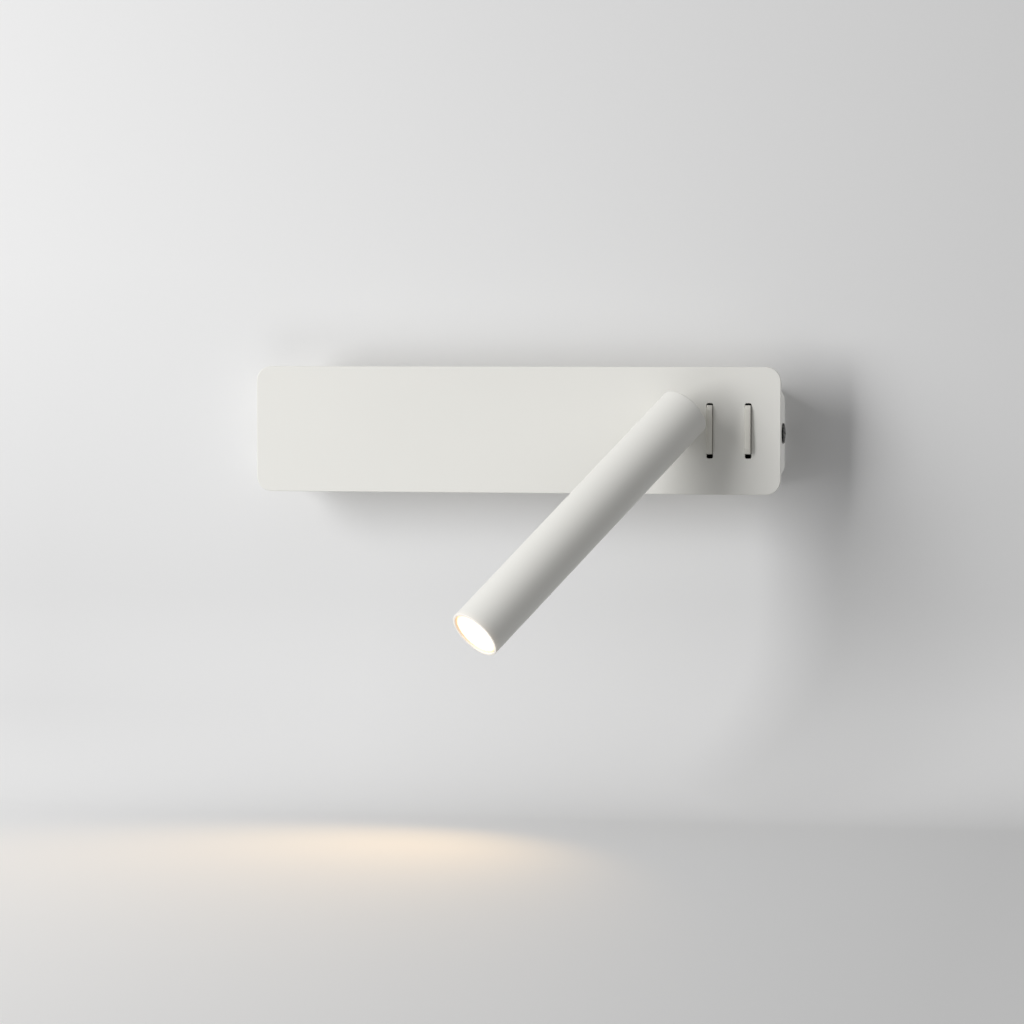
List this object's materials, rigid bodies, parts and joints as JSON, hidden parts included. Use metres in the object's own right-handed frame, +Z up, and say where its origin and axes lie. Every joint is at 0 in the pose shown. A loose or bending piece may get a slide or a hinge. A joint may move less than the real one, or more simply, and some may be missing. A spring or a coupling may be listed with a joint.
{
  "type": "swivel wall light",
  "caption": "Wall reading light: a slotted tube lamp on a swivel and tilt joint in a flat oblong panel with slim rocker switches and a rear backlight.",
  "frame": {"origin": "centre of the wall bracket's back face, on the wall", "axes": "+Z up, +Y into the wall, +X to the right when facing the light; the light stands out towards -Y"},
  "size_m": [0.32, 0.1771, 0.1633],
  "materials": {
    "panel_paint": "fine matt white powder coat",
    "housing_paint": "fine matt white powder coat",
    "tube_paint": "fine matt white powder coat",
    "joint_paint": "fine matt white powder coat",
    "zinc_steel": "zinc plated sheet",
    "screw_steel": "zinc plated",
    "black_screw": "black oxide, slightly glossy",
    "sink_aluminium": "extruded, grey anodised",
    "board_aluminium": "white solder mask",
    "brass_contact": "bare stampings",
    "spring_steel": "hardened strip",
    "bearing_plastic": "natural acetal",
    "rocker_plastic": "white, satin",
    "switch_plastic": "black moulding",
    "driver_plastic": "white moulding",
    "terminal_plastic": "natural polyamide",
    "grommet_rubber": "soft black",
    "lens_glass": "frosted, lit",
    "reflector_metal": "metallised",
    "holder_plastic": "dark grey moulding",
    "opal_plastic": "opal extrusion",
    "led_phosphor": "yellow phosphor",
    "strip_board": "white coated board",
    "lead_sheath": "white sheath"
  },
  "bodies": {
    "base": {"backlight_board_bottom": "strip_board", "backlight_board_top": "strip_board", "backlight_diffuser_bottom": "opal_plastic", "backlight_diffuser_top": "opal_plastic", "backlight_leds_bottom": "led_phosphor", "backlight_leds_top": "led_phosphor", "cable_grommet": "grommet_rubber", "clinch_nuts": "screw_steel", "collar_nut": "screw_steel", "driver_lead": "lead_sheath", "driver_screws": "screw_steel", "earth_screw": "brass_contact", "earth_washer": "brass_contact", "front_panel": "panel_paint", "led_driver": "driver_plastic", "rear_housing": "housing_paint", "side_screws": "black_screw", "stop_pin": "screw_steel", "stud_nuts": "screw_steel", "switch_body_left": "switch_plastic", "switch_body_right": "switch_plastic", "switch_terminals_left": "brass_contact", "switch_terminals_right": "brass_contact", "swivel_collar": "joint_paint", "terminal_block": "terminal_plastic", "terminal_screws": "screw_steel", "wall_bracket": "zinc_steel"},
    "stem": {"swivel_stem": "joint_paint", "slide_washer": "bearing_plastic", "disc_spring": "spring_steel", "stop_washer": "screw_steel", "lock_nuts": "screw_steel", "stem_lead": "lead_sheath"},
    "head": {"lamp_tube": "tube_paint", "rear_yoke": "joint_paint", "tube_set_screws": "black_screw", "tilt_pin": "screw_steel", "tilt_nut": "screw_steel", "friction_washers": "bearing_plastic", "front_lens": "lens_glass", "optic_holder": "holder_plastic", "reflector": "reflector_metal", "spot_led": "led_phosphor", "heat_sink": "sink_aluminium", "board_screws": "screw_steel", "led_board": "board_aluminium", "head_lead": "lead_sheath"},
    "rocker_left": {"rocker_left": "rocker_plastic"},
    "rocker_right": {"rocker_right": "rocker_plastic"},
    "lever_left": {"contact_lever_left": "brass_contact"},
    "lever_right": {"contact_lever_right": "brass_contact"}
  },
  "joints": [
    {"name": "head_pan", "type": "hinge", "parent": "base", "child": "stem", "pos_m": [0.095, -0.063, 0.002], "axis": [0, -1, 0], "range_deg": [-218, 118]},
    {"name": "head_tilt", "type": "hinge", "parent": "stem", "child": "head", "pos_m": [0.095, -0.063, 0.002], "axis": [-0.766, 0, 0.6428], "range_deg": [-34.4, 55.6]},
    {"name": "rocker_left", "type": "hinge", "parent": "base", "child": "rocker_left", "pos_m": [0.1175, -0.0266, 0.002], "axis": [1, 0, 0], "range_deg": [0, 9.4]},
    {"name": "lever_left", "type": "hinge", "parent": "base", "child": "lever_left", "pos_m": [0.1175, -0.0197, 0.002], "axis": [1, 0, 0], "range_deg": [-8, 0]},
    {"name": "rocker_right", "type": "hinge", "parent": "base", "child": "rocker_right", "pos_m": [0.1405, -0.0266, 0.002], "axis": [1, 0, 0], "range_deg": [0, 9.4]},
    {"name": "lever_right", "type": "hinge", "parent": "base", "child": "lever_right", "pos_m": [0.1405, -0.0197, 0.002], "axis": [1, 0, 0], "range_deg": [-8, 0]}
  ],
  "couplings": [
    {"joint": "lever_left", "follows": "rocker_left", "ratio": -0.851},
    {"joint": "lever_right", "follows": "rocker_right", "ratio": -0.851}
  ]
}
